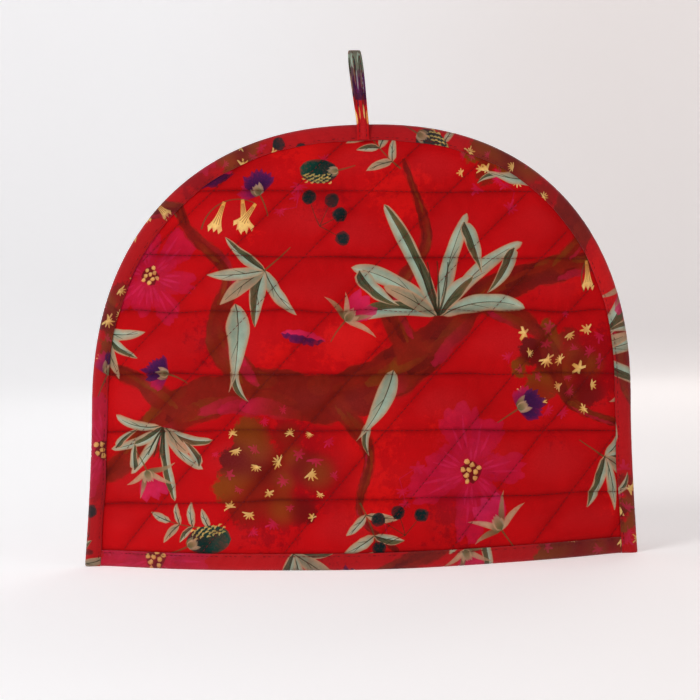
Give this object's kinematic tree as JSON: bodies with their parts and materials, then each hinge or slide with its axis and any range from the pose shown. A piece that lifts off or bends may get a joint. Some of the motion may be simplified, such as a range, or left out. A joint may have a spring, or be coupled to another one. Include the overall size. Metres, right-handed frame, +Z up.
{
  "type": "tea cosy",
  "caption": "Dome-shaped quilted cotton tea cosy, hollow and standing on its hem, with bound edges and a hanging loop at the top.",
  "frame": {"origin": "on the surface the hem stands on, under the middle of the cosy", "axes": "+Z up, +X to the right as the front is seen, and the front faces -Y"},
  "size_m": [0.342, 0.1112, 0.3136],
  "materials": {
    "printed_quilt": "red cotton print, quilted",
    "printed_binding": "the same print, folded as a strip",
    "printed_loop": "the same print, a narrow folded strip"
  },
  "bodies": {
    "root": {"front_panel": "printed_quilt", "back_panel": "printed_quilt", "edge_binding": "printed_binding", "front_hem_binding": "printed_binding", "back_hem_binding": "printed_binding", "hanging_loop": "printed_loop"}
  },
  "joints": []
}
